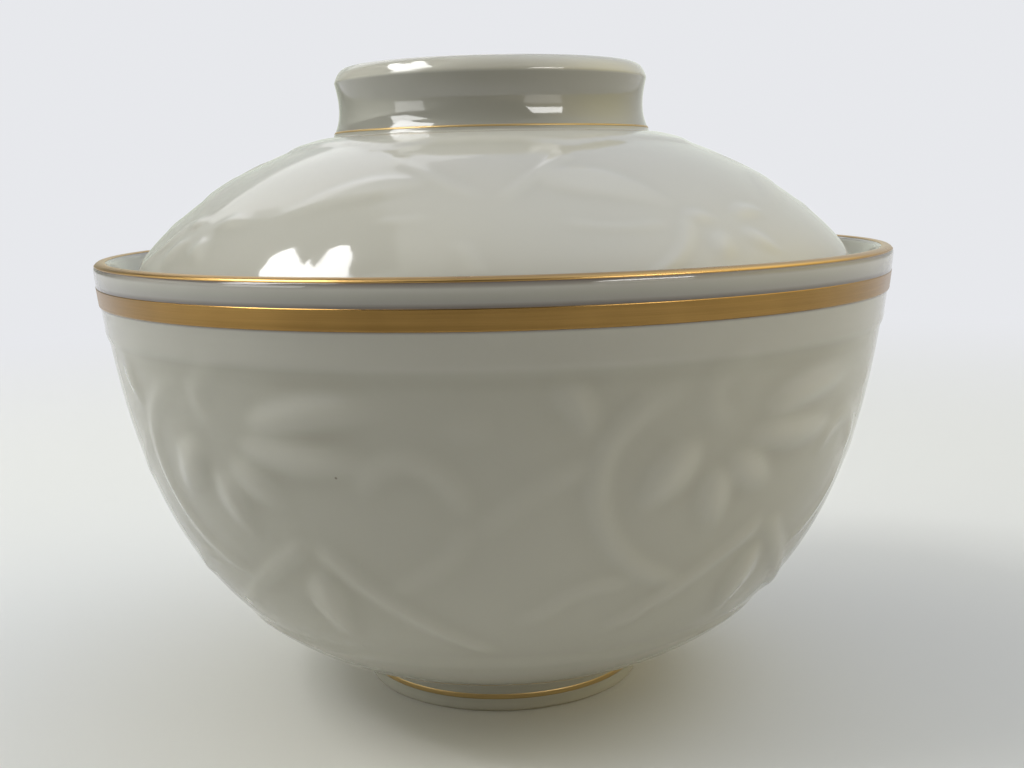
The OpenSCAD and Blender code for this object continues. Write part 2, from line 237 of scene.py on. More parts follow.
class Link:
    """An output socket of a node tree. Sums and products of it add Math nodes to the tree."""

    def __init__(self, tree, socket):
        self.tree = tree
        self.socket = socket

    def beside(self, name):
        """Another output of the same node."""
        return Link(self.tree, self.socket.node.outputs[name])

    def part(self, axis):
        """One of the three numbers of a vector or a colour."""
        return self.tree.node("ShaderNodeSeparateXYZ", {0: self}, out=axis)

    def maths(self, operation, first, second):
        return self.tree.node("ShaderNodeMath", {0: first, 1: second}, operation=operation)

    def __add__(self, other):
        return self.maths("ADD", self, other)

    def __radd__(self, other):
        return self.maths("ADD", other, self)

    def __sub__(self, other):
        return self.maths("SUBTRACT", self, other)

    def __mul__(self, other):
        return self.maths("MULTIPLY", self, other)

    def __truediv__(self, other):
        return self.maths("DIVIDE", self, other)

    def __pow__(self, other):
        return self.maths("POWER", self, other)

    def at_least(self, other):
        return self.maths("MAXIMUM", self, other)

    def at_most(self, other):
        return self.maths("MINIMUM", self, other)


class Tree:
    """A node tree under construction."""

    def __init__(self, tree):
        self.tree = tree

    def node(self, kind, sockets=None, out=0, stops=(), **settings):
        """Adds a node: its settings first, then its sockets. Returns one of its outputs."""
        made = self.tree.nodes.new(kind)
        for name, value in settings.items():
            setattr(made, name, value)
        for place, shade in stops[2:]:
            made.color_ramp.elements.new(place)
        for element, (place, shade) in zip(made.color_ramp.elements if stops else (), stops):
            element.position = place
            element.color = (*shade, 1)
        for name, value in (sockets or {}).items():
            if isinstance(value, Link):
                self.tree.links.new(value.socket, made.inputs[name])
            else:
                made.inputs[name].default_value = value
        return Link(self, made.outputs[out]) if made.outputs else None

    def mix(self, share, first, second, blend_type="MIX"):
        """A colour between two others, each given as a link or as three numbers."""
        sockets = {0: share}
        for slot, colour in ((6, first), (7, second)):
            sockets[slot] = colour if isinstance(colour, Link) else (*colour, 1)
        return self.node("ShaderNodeMix", sockets, out=2, data_type="RGBA", blend_type=blend_type)

    def scaled(self, vector, factor):
        """A vector or a colour times a number."""
        return self.node("ShaderNodeVectorMath", {0: vector, "Scale": factor}, operation="SCALE")

    def sum(self, first, second):
        """Two vectors or colours added."""
        return self.node("ShaderNodeVectorMath", {0: first, 1: second}, operation="ADD")

    def length(self, vector):
        return self.node("ShaderNodeVectorMath", {0: vector}, out="Value", operation="LENGTH")


# The turning tree revolves an outline and then moulds it: it drops rays on the raised forms
# of a motif, blurs the heights as glaze does, and moves the skin out by them.

turning = bpy.data.node_groups.new("turned and moulded wall", "GeometryNodeTree")
turning_inputs = (("Outline", "Geometry"), ("Sectors", "Int"), ("Reach", "Float"), ("Softness", "Int"),
                  ("Motif", "Object"), ("Hearts", "Object"), ("Finish", "Material"))
turning_sockets = {}
for label, kind in turning_inputs:
    socket = turning.interface.new_socket(label, in_out="INPUT", socket_type="NodeSocket" + kind)
    turning_sockets[label] = socket.identifier
turning.interface.new_socket("Wall", in_out="OUTPUT", socket_type="NodeSocketGeometry")
weld_m = 1e-6
pool_and_shade_reach = 5

shape = Tree(turning)


def kept(name):
    """A number kept on the points under a name."""
    return shape.node("GeometryNodeInputNamedAttribute", {"Name": name})


def keep(geometry, name, value):
    """The geometry, with a number kept on its points."""
    return shape.node("GeometryNodeStoreNamedAttribute",
                      {"Geometry": geometry, "Name": name, "Value": value}, domain="POINT")


outline_in, sectors_in, reach_in, softness_in, motif_in, hearts_in, finish_in = (
    shape.node("NodeGroupInput", out=i) for i in range(len(turning_inputs)))
rows = shape.node("GeometryNodeAttributeDomainSize", {"Geometry": outline_in}, component="MESH")
grid = shape.node("GeometryNodeMeshGrid", {
    "Size X": 1.0, "Size Y": 1.0, "Vertices X": sectors_in + 1, "Vertices Y": rows})
round_share = grid.beside("UV Map").part("X")
along_share = grid.beside("UV Map").part("Y")
row = shape.node("ShaderNodeMath", {0: along_share * (rows - 1)}, operation="ROUND")
profile = shape.node("GeometryNodeSampleIndex", {
    "Geometry": outline_in, "Value": shape.node("GeometryNodeInputPosition"), "Index": row},
    data_type="FLOAT_VECTOR")
may_rise = shape.node("GeometryNodeSampleIndex", {
    "Geometry": outline_in, "Value": kept("moulded"), "Index": row})
angle = round_share * math.tau
turned_place = shape.node("ShaderNodeCombineXYZ", {
    "X": profile.part("X") * shape.node("ShaderNodeMath", {0: angle}, operation="SINE"),
    "Y": profile.part("X") * shape.node("ShaderNodeMath", {0: angle}, operation="COSINE") * -1,
    "Z": profile.part("Z")})
wall = keep(grid, "moulded", may_rise)
wall = shape.node("GeometryNodeSetPosition", {"Geometry": wall, "Position": turned_place})
wall = shape.node("GeometryNodeMergeByDistance", {"Geometry": wall, "Distance": weld_m})
forms = shape.node("GeometryNodeInstanceOnPoints", {
    "Points": shape.node("GeometryNodeObjectInfo", {"Object": hearts_in}, out="Geometry"),
    "Instance": shape.node("GeometryNodeObjectInfo", {"Object": motif_in}, out="Geometry"),
    "Rotation": shape.node("ShaderNodeCombineXYZ", {"Z": kept("turn")})})
forms = shape.node("GeometryNodeRealizeInstances", {"Geometry": forms})
skin_out = shape.node("GeometryNodeInputNormal")
ray_start = shape.sum(shape.node("GeometryNodeInputPosition"), shape.scaled(skin_out, reach_in))
ray = shape.node("GeometryNodeRaycast", {
    "Target Geometry": forms, "Source Position": ray_start, "Ray Direction": shape.scaled(skin_out, -1.0),
    "Ray Length": reach_in}, out="Hit Distance", data_type="FLOAT")
sharp_height = ray.beside("Is Hit") * (reach_in - ray) * kept("moulded")
height = shape.node("GeometryNodeBlurAttribute", {
    "Value": sharp_height, "Iterations": softness_in}, data_type="FLOAT")
wide_height = shape.node("GeometryNodeBlurAttribute", {
    "Value": height, "Iterations": softness_in * pool_and_shade_reach + 1}, data_type="FLOAT")
# How far a point lies below its blurred surroundings darkens the glaze later: partly pooled glaze, partly
# painted shade beside the raised forms.
wall = keep(wall, "pool", (wide_height - height).at_least(0.0))
wall = keep(wall, "relief", height)
wall = shape.node("GeometryNodeSetPosition", {
    "Geometry": wall, "Offset": shape.scaled(skin_out, kept("relief"))})
wall = shape.node("GeometryNodeSetShadeSmooth", {"Geometry": wall})
wall = shape.node("GeometryNodeRealizeInstances", {"Geometry": wall})
wall = shape.node("GeometryNodeSetMaterial", {"Geometry": wall, "Material": finish_in})
shape.node("NodeGroupOutput", {0: wall})


def new_object(name, points, edges=(), faces=()):
    """An object at the origin, with a mesh of its own."""
    mesh = bpy.data.meshes.new(name)
    mesh.from_pydata(points, list(edges), list(faces))
    made = bpy.data.objects.new(name, mesh)
    bpy.context.scene.collection.objects.link(made)
    return made


def wire(name, points, attribute, values):
    """A wire of points, with one number at each."""
    made = new_object(name, points, [(i, i + 1) for i in range(len(points) - 1)])
    made.data.attributes.new(attribute, "FLOAT", "POINT").data.foreach_set("value", values)
    return made


ray_reach = 3.0


def turned(name, outline, finish, sectors, moulded=None, motif=None, turns=(0,), softness=0):
    """A piece revolved from an outline of radius and height, with a motif raised at each turn."""
    moulded = moulded or [0.0] * len(outline)
    piece = wire(name, [(point.x * MM, 0, point.y * MM) for point in outline], "moulded", moulded)
    hearts = wire(name + ".hearts", [(0, 0, 0)] * len(turns), "turn", turns)
    motif = motif or wire(name + ".blank", [(0, 0, 0)], "turn", [0])
    step = piece.modifiers.new("turning", "NODES")
    step.node_group = turning
    for label, value in (("Sectors", sectors), ("Reach", ray_reach * MM), ("Softness", softness),
                         ("Motif", motif), ("Hearts", hearts), ("Finish", finish)):
        step[turning_sockets[label]] = value
    shown = piece.evaluated_get(bpy.context.evaluated_depsgraph_get())
    mesh = bpy.data.meshes.new_from_object(shown)
    piece.modifiers.remove(step)
    piece.data = mesh
    for helper in (hearts, motif):
        bpy.data.objects.remove(helper)
    return piece


def on_axis(point, angle):
    """A point of an outline, turned to an angle round the axis."""
    return point.x * math.sin(angle) * MM, -point.x * math.cos(angle) * MM, point.y * MM


def strip_faces(first, rows, columns):
    """Faces between neighbouring rows of points."""
    return [(p, p + 1, p + columns + 1, p + columns)
            for row in range(rows)
            for p in range(first + row * columns, first + (row + 1) * columns - 1)]


probe_share = 0.01


def add_form(points, faces, wall, kind, form):
    """Adds one raised form, lofted along four places on a wall. Its edges dip below the skin."""
    curve, skin, t_at, span = wall
    section, fullness, steps = kind
    shares, width, rise = form
    places = [Vector(place) for place in shares]
    first = len(points)
    for i in range(steps + 1):
        s = i / steps
        place = bezier(places, s)
        slope = bezier_slope(places, s)
        t = t_at(place.y)
        flank = bezier(curve, t).x
        reach = bezier_slope(curve, t).length
        climb = reach * (t_at(place.y + probe_share) - t_at(place.y - probe_share)) / (2 * probe_share)
        along = Vector((slope.x * span * flank, slope.y * climb)).normalized()
        full = fullness(s)
        for v, lift in section:
            x = v * full * width / 2
            side_t = min(1, max(0, t + along.x * x / reach))
            points.append(on_axis(skin(side_t, rise * full * lift), span * place.x - along.y * x / flank))
    faces.extend(strip_faces(first, steps, len(section)))


least_fullness = 0.02
edge_dip = 0.1
stem_fade = 0.15
stem_roundness = 1.3
stem_steps = 48
blade_skew = 0.8
blade_plumpness = 0.9
blade_steps = 24
petal_roundness = 0.75
ridge_share = 0.25
ridge_half_w_share = 0.25
section_steps = 10
section_places = [2 * i / section_steps - 1 for i in range(section_steps + 1)]


def stem_fullness(s):
    """Fullness of a stem, which fades at both ends."""
    return max(least_fullness, min(1, ramp(s / stem_fade), ramp((1 - s) / stem_fade)))


def blade_fullness(s):
    """Fullness of a petal or leaf, widest a little before its middle."""
    return max(least_fullness, math.sin(math.pi * s ** blade_skew) ** blade_plumpness)


def stem_lift(v):
    """Height across a stem: a round bead."""
    return math.cos(v * math.pi / 2) ** stem_roundness - edge_dip


def petal_lift(v):
    """Height across a petal: a cushion with a fine ridge along its middle."""
    cushion = (1 - ridge_share) * (1 - v * v) ** petal_roundness
    return cushion + ridge_share * max(0, 1 - abs(v) / ridge_half_w_share) - edge_dip


stem_kind = ([(v, stem_lift(v)) for v in section_places], stem_fullness, stem_steps)
petal_kind = ([(v, petal_lift(v)) for v in section_places], blade_fullness, blade_steps)

# Curves of the motif from each flower's heart, as shares of its angle and of the relief's height,
# each with its width and rise
flower_turns = [math.tau * share for share in (-0.106, 0.079, 0.283, 0.487, 0.691)]
flower_span = math.tau / len(flower_turns)
bowl_blades = [
    ([[0.08, 0.81], [0.15, 0.85], [0.25, 0.885], [0.38, 0.888]], 5.0, 1.15),
    ([[0.05, 0.742], [0.14, 0.732], [0.24, 0.722], [0.33, 0.71]], 5.4, 1.05),
    ([[0.02, 0.685], [0.06, 0.645], [0.1, 0.605], [0.145, 0.55]], 5.6, 0.9),
    ([[-0.005, 0.66], [0, 0.58], [0.008, 0.51], [0.02, 0.43]], 5.8, 0.9),
    ([[-0.045, 0.74], [-0.09, 0.68], [-0.12, 0.61], [-0.145, 0.53]], 6.6, 1),
    ([[0.172, 0.34], [0.155, 0.25], [0.155, 0.16], [0.165, 0.05]], 6.4, 0.9),
    ([[-0.315, 0.94], [-0.27, 0.93], [-0.25, 0.87], [-0.25, 0.78]], 2.8, 1.0),
    ([[0.44, 0.82], [0.47, 0.835], [0.5, 0.835], [0.53, 0.82]], 2.8, 0.4)]
bowl_stems = [
    ([[-0.055, 0.93], [-0.32, 0.86], [-0.28, 0.3], [0.03, 0.25]], 2.4, 0.6),
    ([[0.08, 1], [-0.06, 0.96], [-0.06, 0.84], [0.02, 0.805]], 2, 0.45),
    ([[0.165, 0.45], [0.09, 0.36], [-0.06, 0.2], [-0.2, 0.08]], 2.2, 0.6),
    ([[0.165, 0.45], [0.24, 0.32], [0.35, 0.14], [0.54, 0]], 2.4, 0.7),
    ([[0.285, 0.6], [0.31, 0.78], [0.46, 0.78], [0.47, 0.53]], 1.9, 0.7),
    ([[0.47, 0.53], [0.46, 0.42], [0.4, 0.35], [0.3, 0.27]], 2, 0.4),
    ([[-0.38, 0.17], [-0.27, 0.17], [-0.33, 0.31], [-0.1, 0.29]], 2.2, 0.45),
    ([[-0.24, 0.72], [-0.31, 0.66], [-0.38, 0.58], [-0.44, 0.48]], 2, 0.35)]


halvings = 24


def t_where(measure):
    """The t where a measure that grows along a curve passes zero, by halving."""
    low = 0.0
    high = 1.0
    for _ in range(halvings):
        middle = (low + high) / 2
        if measure(middle) < 0:
            low = middle
        else:
            high = middle
    return low


def wall_t_at(share):
    """The t of the wall's curve at a share of the relief's height."""
    return t_where(lambda t: bezier(wall_curve, t).y - hem_z - share * (collar_z - hem_z))


bowl_points = []
bowl_faces = []
for kind, bowl_forms in ((petal_kind, bowl_blades), (stem_kind, bowl_stems)):
    for form in bowl_forms:
        add_form(bowl_points, bowl_faces, (wall_curve, wall_skin, wall_t_at, flower_span), kind, form)
bowl_motif = new_object("bowl.motif", bowl_points, faces=bowl_faces)


def new_finish(name):
    """A material, and its tree with no nodes yet."""
    made = bpy.data.materials.new(name)
    made.use_nodes = True
    made.node_tree.nodes.clear()
    return made, Tree(made.node_tree)


def spots(tree, place, scale, axis, chance, core, edge):
    """A mask of soft round spots, in a few cells of a random pattern."""
    cell = tree.node("ShaderNodeTexVoronoi", {"Vector": place, "Scale": scale, "Randomness": 1.0},
                     out="Distance")
    is_drawn = tree.node("ShaderNodeMath", {0: cell.beside("Color").part(axis), 1: 1 - chance},
                         operation="GREATER_THAN")
    spot = tree.node("ShaderNodeMapRange", {
        "Value": cell, "From Min": core, "From Max": edge, "To Min": 1.0, "To Max": 0.0})
    return spot * is_drawn


thick_ivory = (0.425, 0.415, 0.365)
thin_ivory = (0.455, 0.445, 0.395)
# Raised forms are lighter and pools darker: partly thinner and pooled glaze, partly a painted highlight on
# the forms and painted shade beside them.
raised_ivory_and_highlight = (0.505, 0.495, 0.445)
pooled_ivory_and_shade = (0.33, 0.315, 0.26)
iron_speck = (0.12, 0.1, 0.07)
bare_porcelain = (0.45, 0.42, 0.35)
bare_top_z = 0.55
bare_low_z = 0.25
full_rise = 0.8
full_pool_and_shade = 0.25
tone_reach_z = 100
tone_step_r = 0.3
glaze_roughness = 0.045
glaze_ior = 1.56
peel_strength = 0.12
peel_depth = 0.2


def glaze(name, stains_and_painted_tones, tones_from_r):
    """Ivory glaze: glossy, a little uneven, lighter on raised forms and darker where it pools beside them,
    partly from the glaze's thickness and partly as painted highlight and painted shade, with painted light
    and shade by height.
    """
    made, tree = new_finish(name)
    place = tree.node("ShaderNodeTexCoord", out="Object")
    height = place.part("Z") / MM
    level_place = tree.node("ShaderNodeVectorMath", {0: place, 1: (1 / MM, 1 / MM, 0)}, operation="MULTIPLY")
    radius = tree.length(level_place)
    relief = tree.node("ShaderNodeAttribute", out="Fac", attribute_name="relief") / (full_rise * MM)
    pool = tree.node("ShaderNodeAttribute", out="Fac", attribute_name="pool") / (full_pool_and_shade * MM)
    cloud = tree.node("ShaderNodeTexNoise", {"Vector": place, "Scale": 45.0, "Detail": 3.0})
    ivory = tree.mix((cloud - 0.35) * 0.8, thick_ivory, thin_ivory)
    ivory = tree.mix(relief.at_most(1.0), ivory, raised_ivory_and_highlight)
    ivory = tree.mix(pool.at_most(1.0) * 0.6, ivory, pooled_ivory_and_shade)
    # Tones by height multiply the outside's colour: painted light and painted shade, and on the bowl the
    # dark stains where the gold edges bled.
    stain_and_painted_tone = tree.node("ShaderNodeValToRGB", {0: height / tone_reach_z},
                     stops=[(z / tone_reach_z, colour) for z, colour in stains_and_painted_tones])
    is_outside = tree.node("ShaderNodeMapRange", {
        "Value": radius, "From Min": tones_from_r, "From Max": tones_from_r + tone_step_r})
    ivory = tree.mix(is_outside, ivory, tree.mix(1.0, ivory, stain_and_painted_tone, "MULTIPLY"))
    speck = spots(tree, place, scale=110.0, axis="X", chance=0.2, core=0.012, edge=0.025)
    ivory = tree.mix(speck * 0.75, ivory, iron_speck)
    bare = tree.node("ShaderNodeMapRange", {
        "Value": height, "From Min": bare_low_z, "From Max": bare_top_z, "To Min": 1.0, "To Max": 0.0})
    ivory = tree.mix(bare, ivory, bare_porcelain)
    peel = tree.node("ShaderNodeTexNoise", {"Vector": place, "Scale": 260.0, "Detail": 2.0})
    bump = tree.node("ShaderNodeBump", {
        "Height": peel, "Strength": peel_strength, "Distance": peel_depth * MM})
    shader = tree.node("ShaderNodeBsdfPrincipled", {
        "Base Color": ivory, "Roughness": glaze_roughness + cloud * 0.04 + bare * 0.5,
        "IOR": glaze_ior, "Normal": bump})
    tree.node("ShaderNodeOutputMaterial", {"Surface": shader})
    return made


# Tones of the outside by height: plain up to the collar, a painted shade under the collar's step, painted
# light on the collar, a greyish painted shade between the gold lines that turns to painted light near the
# lip, and dark where each gold edge has bled into the glaze
plain = (1.0, 1.0, 1.0)
collar_painted_light = (1.06, 1.06, 1.09)
step_painted_shade = (0.95, 0.95, 0.94)
lip_strip_painted_shade = (0.76, 0.76, 0.8)
lip_strip_painted_light = (1.1, 1.1, 1.14)
bleed = (0.36, 0.3, 0.33)
bleed_w = 0.14
lip_gold_z = bowl_h - 0.6
bowl_outside_r = bowl_r - 2.1
bowl_stains_and_painted_tones = [(0, plain),
              (collar_z - 3, plain),
              (collar_z - 1.6, step_painted_shade),
              (collar_z - 0.5, step_painted_shade),
              (collar_z + 0.3, collar_painted_light),
              (band_low_z - 2 * bleed_w, collar_painted_light),
              (band_low_z - bleed_w, bleed),
              (band_top_z + bleed_w, bleed),
              (band_top_z + 2 * bleed_w, lip_strip_painted_shade),
              (lip_gold_z - 3.5 * bleed_w, lip_strip_painted_light),
              (lip_gold_z - bleed_w / 2, bleed),
              (lip_gold_z + 2 * bleed_w, bleed),
              (lip_gold_z + 4 * bleed_w, plain)]
bowl_glaze = glaze("bowl glaze", bowl_stains_and_painted_tones, bowl_outside_r)
bowl_softness = 4
bowl_body = turned("bowl_body", bowl_outline, bowl_glaze, bowl_sectors, bowl_moulded, bowl_motif,
                   flower_turns, bowl_softness)
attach(bowl_body, "bowl")
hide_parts("bowl_wall", "foot_ring", "bowl_flowers", "bowl_leaves", "bowl_stems")


# Lid: the second fired piece, of the same porcelain. Its plain rim drops inside the bowl, its dome
# carries the same kind of relief, much lower, and its hollow ring knob is luted to the crown.

lid_t = 3
rim_round = lid_t / 2
lid_box_low, lid_box_high = (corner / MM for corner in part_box("lid_dome"))
lid_r = lid_box_high.x
rim_low_z = lid_box_low.z
shoulder_depth = 2.8
shoulder = Vector((lid_r, bowl_h - shoulder_depth))
dome_h = 19.45
dome_pitch = math.radians(11.2)
dome_low_handle_share = 0.21
dome_top_handle_share = 0.5
under_handle_share = 0.35
crown_rise = 1.2
crown_dip = 0.4
knob_r = 23.4
knob_t = 3.4
knob_h = 9.65
knob_round = 2
knob_fillet = 0.6
knob_spread_share = 0.09
knob_waist_share = 0.3
knob_edge_drop = 0.1
knob_flare = Vector((0.6, 2.4))
knob_edge_handle = Vector((-0.22, 0.8))
knob_top_handle = Vector((1.3, 0))
knob_foot_r = knob_r + knob_spread_share * knob_t
knob_in_r = knob_r - knob_t
knob_in_round = knob_t - knob_round
dome_end = Vector((knob_foot_r + knob_fillet, shoulder.y + dome_h))
knob_seat_z = dome_end.y + knob_fillet
crown_z = knob_seat_z + crown_rise
knob_lip_z = knob_seat_z + knob_h - knob_round
knob_edge = Vector((knob_r, knob_lip_z - knob_edge_drop))
knob_top = Vector((knob_r - knob_round, knob_lip_z + knob_round))
dome_rows = 84
knob_rows = 40
lid_sectors = 490

dome_curve = (shoulder,
              shoulder + Vector((0, dome_low_handle_share * (dome_end.y - shoulder.y))),
              dome_end + polar(dome_top_handle_share * (shoulder.x - dome_end.x), -dome_pitch),
              dome_end)
knob_curve = (Vector((knob_foot_r, knob_seat_z)),
              Vector((knob_r - knob_waist_share * knob_t, knob_seat_z + knob_h / 4)),
              knob_edge - knob_flare,
              knob_edge)
knob_rim_curve = (knob_edge, knob_edge + knob_edge_handle, knob_top + knob_top_handle, knob_top)


def dome_skin(t, rise=0.0):
    """A point of the lid's outside, raised above the dome."""
    return bezier(dome_curve, t) + rise * outwards(dome_curve, t)


under_start = dome_skin(1, -lid_t)
under_curve = (Vector((0, crown_z - lid_t)),
               Vector((under_start.x / 3, crown_z - lid_t)),
               under_start - polar(under_handle_share * under_start.x, -dome_pitch),
               under_start)
crown_curve = (Vector((knob_in_r - knob_fillet, knob_seat_z)),
               Vector((2 * knob_in_r / 3, crown_z - crown_dip)),
               Vector((knob_in_r / 3, crown_z)),
               Vector((0, crown_z)))
rim_centre = Vector((lid_r - rim_round, rim_low_z + rim_round))
knob_in_edge = Vector((knob_r - knob_round, knob_lip_z + knob_round - knob_in_round))
knob_in_corner = Vector((knob_in_r - knob_fillet, knob_seat_z + knob_fillet))
under_dome = (traced(under_curve, floor_rows)[:-1]
              + [dome_skin(1 - i / inner_rows, -lid_t) for i in range(inner_rows)]
              + arc(rim_centre, rim_round, math.pi, math.tau, lip_rows))
dome_line = [dome_skin(i / dome_rows) for i in range(dome_rows)]
knob_line = (arc(dome_end + Vector((0, knob_fillet)), knob_fillet, 1.5 * math.pi, math.pi, root_rows)
             + traced(knob_curve, knob_rows)[1:-1]
             + traced(knob_rim_curve, lip_rows)
             + arc(knob_in_edge, knob_in_round, math.pi / 2, math.pi, lip_rows)[1:]
             + arc(knob_in_corner, knob_fillet, 0, -math.pi / 2, root_rows))
lid_outline = under_dome + dome_line + knob_line + traced(crown_curve, floor_rows)[1:]
plain_edge_h = 1
leaf_flatness = 8
lid_moulded = [float(len(under_dome) <= i < len(under_dome) + dome_rows
                     and point.y > shoulder.y + plain_edge_h)
               for i, point in enumerate(lid_outline)]


def leaf_lift(v):
    """Height across a leaf: flat, with a steep edge."""
    return 1 - v ** leaf_flatness - edge_dip


leaf_kind = ([(v, leaf_lift(v)) for v in section_places], blade_fullness, blade_steps)

lid_repeats = 4
lid_span = math.tau / lid_repeats
lid_angle = math.radians(-3.5)
lid_turns = [lid_angle + i * lid_span for i in range(lid_repeats)]
lid_leaves = [
    ([[0.12, 0.73], [0.19, 0.76], [0.31, 0.7], [0.37, 0.54]], 7, 0.35),
    ([[-0.09, 0.72], [-0.17, 0.74], [-0.27, 0.69], [-0.38, 0.5]], 5.4, 0.35)]
lid_petals = [
    ([[0.43, 0.4], [0.41, 0.34], [0.4, 0.27], [0.4, 0.2]], 3.4, 0.55),
    ([[0.47, 0.4], [0.49, 0.35], [0.515, 0.3], [0.53, 0.22]], 3.4, 0.55),
    ([[0.43, 0.48], [0.4, 0.5], [0.38, 0.5], [0.36, 0.47]], 3, 0.5),
    ([[0.48, 0.48], [0.51, 0.52], [0.55, 0.53], [0.58, 0.49]], 3, 0.5)]
lid_stems = [
    ([[0.24, 0.94], [0.16, 0.84], [0.1, 0.74], [0.04, 0.6]], 1.8, 0.3),
    ([[-0.22, 0.94], [-0.14, 0.84], [-0.07, 0.74], [0.03, 0.62]], 1.8, 0.25),
    ([[0.37, 0.5], [0.36, 0.38], [0.32, 0.26], [0.25, 0.1]], 1.8, 0.4),
    ([[0.14, 0.5], [0.2, 0.44], [0.27, 0.43], [0.33, 0.47]], 1.8, 0.2),
    ([[-0.07, 0.53], [-0.1, 0.51], [-0.13, 0.5], [-0.16, 0.5]], 1.8, 0.2),
    ([[-0.02, 0.4], [0, 0.32], [0.015, 0.24], [0.015, 0.14]], 1.6, 0.3)]
relief_end_share = 0.84


def dome_t_at(share):
    """The t of the dome's curve at a share of the way from the shoulder to the border."""
    return relief_end_share * share


# A border of lobes lies round the knob: its reach falls and grows again along each lobe, and its
# section is a flat step with a raised edge, in shares of that reach and in heights
border_in_r = dome_end.x + knob_fillet
border_w = 3.9
border_point = 2.0
border_section = ((-0.2, 0.3), (0.3, 0.3), (0.75, 0.3), (0.9, 0.34), (1, 0.28), (1.04, -0.1))
lobe_steps = 24
lid_points = []
for i in range(2 * lobe_steps + 1):
    lobe_angle = lid_span / 2 * (0.5 + i / lobe_steps)
    reach = border_w + border_point * (1 - 2 * (i % lobe_steps) / lobe_steps) ** 2
    for share, rise in border_section:
        t = t_where(lambda t: border_in_r + share * reach - bezier(dome_curve, t).x)
        lid_points.append(on_axis(dome_skin(t, rise), lobe_angle))
lid_faces = strip_faces(0, 2 * lobe_steps, len(border_section))
for kind, lid_forms in ((leaf_kind, lid_leaves), (petal_kind, lid_petals), (stem_kind, lid_stems)):
    for form in lid_forms:
        add_form(lid_points, lid_faces, (dome_curve, dome_skin, dome_t_at, lid_span), kind, form)
lid_motif = new_object("lid.motif", lid_points, faces=lid_faces)

# Painted light and shade: the lid's glaze is lightened as if lit from above, and the knob's outer flank is
# darkened with painted shade.
lid_painted_light = (1.28, 1.28, 1.3)
flank_painted_shade = (0.8, 0.81, 0.83)
lid_painted_tones = [(0, lid_painted_light),
             (knob_seat_z - 1, lid_painted_light),
             (knob_seat_z + 0.5, flank_painted_shade),
             (knob_edge.y - 0.3, flank_painted_shade),
             (knob_edge.y + 0.2, lid_painted_light)]
lid_glaze = glaze("lid glaze", lid_painted_tones, 0)
lid_softness = 3
lid_body = turned("lid_body", lid_outline, lid_glaze, lid_sectors, lid_moulded, lid_motif, lid_turns,
                  lid_softness)
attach(lid_body, "lid")
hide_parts("lid_dome", "knob_ring", "lid_border", "lid_flowers", "lid_leaves", "lid_stems")


# Gilding: bright gold on the lip, below it, on the foot and at the root of the knob. It is brushed
# over the glaze on a turning wheel and fired on, so it shows fine turning marks and small worn specks.

gold_t = 0.05
gold_root = 0.1
worn_colour = (0.2, 0.1, 0.03)
streak_scale = (25, 25, 1800)
streak_strength = 0.25
streak_depth = 0.05


def fired_gold(name, dark, light, metallic, roughness):
    """Fired gold with fine turning marks, paler and darker patches, and small worn specks."""
    made, tree = new_finish(name)
    place = tree.node("ShaderNodeTexCoord", out="Object")
    streak_place = tree.node("ShaderNodeMapping", {"Vector": place, "Scale": streak_scale})
    streak = tree.node("ShaderNodeTexNoise", {
        "Vector": streak_place, "Scale": 1.0, "Detail": 4.0, "Roughness": 0.6})
    patch = tree.node("ShaderNodeTexNoise", {"Vector": place, "Scale": 140.0, "Detail": 4.0})
    gold = tree.mix(streak * 0.8 + patch * 0.5 - 0.3, dark, light)
    worn = spots(tree, place, scale=260.0, axis="Y", chance=0.1, core=0.02, edge=0.12)
    gold = tree.mix(worn * 0.55, gold, worn_colour)
    bump = tree.node("ShaderNodeBump", {
        "Height": streak + patch * 0.5, "Strength": streak_strength, "Distance": streak_depth * MM})
    shader = tree.node("ShaderNodeBsdfPrincipled", {
        "Base Color": gold, "Metallic": metallic, "Roughness": roughness + patch * 0.1 + worn * 0.15,
        "Normal": bump})
    tree.node("ShaderNodeOutputMaterial", {"Surface": shader})
    return made


def gilding(name, line, out_at, gold, body, node):
    """A thin skin of gold over a stretch of an outline, tucked into the glaze at its edges."""
    skin = [point + gold_t * out for point, out in zip(line, out_at)]
    root = [point - gold_root * out for point, out in zip(line, out_at)]
    piece = turned(name, [root[0]] + skin + root[::-1], gold, bowl_sectors)
    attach(piece, body)
    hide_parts(node)


search_steps = 2000


def stretch(curve, low_z, high_z, steps, skin=None):
    """Points and outward directions of an outline between two heights."""
    tried = [i / search_steps for i in range(search_steps + 1)]
    found = [t for t in tried if low_z <= bezier(curve, t).y <= high_z]
    chosen = [found[0] + (found[-1] - found[0]) * i / steps for i in range(steps + 1)]
    points = [skin(t) if skin else bezier(curve, t) for t in chosen]
    return points, [outwards(curve, t) for t in chosen]


band_gold = fired_gold("band gold", (0.26, 0.15, 0.045), (0.46, 0.28, 0.09), 1.0, 0.2)
line_gold = fired_gold("line gold", (0.4, 0.24, 0.08), (0.6, 0.39, 0.15), 1.0, 0.24)
worn_gold = fired_gold("worn gold", (0.44, 0.3, 0.12), (0.62, 0.45, 0.2), 0.6, 0.34)

band_line, band_out = stretch(wall_curve, band_low_z - band_step_h, band_top_z, 20, wall_skin)
gilding("gold_band", band_line, band_out, band_gold, "bowl", "band_gilding")

foot_line_low_z = 1.95
foot_line_top_z = 2.75
foot_line, foot_out = stretch(foot_curve, foot_line_low_z, foot_line_top_z, 4)
gilding("gold_foot_line", foot_line, foot_out, worn_gold, "bowl", "foot_gilding")

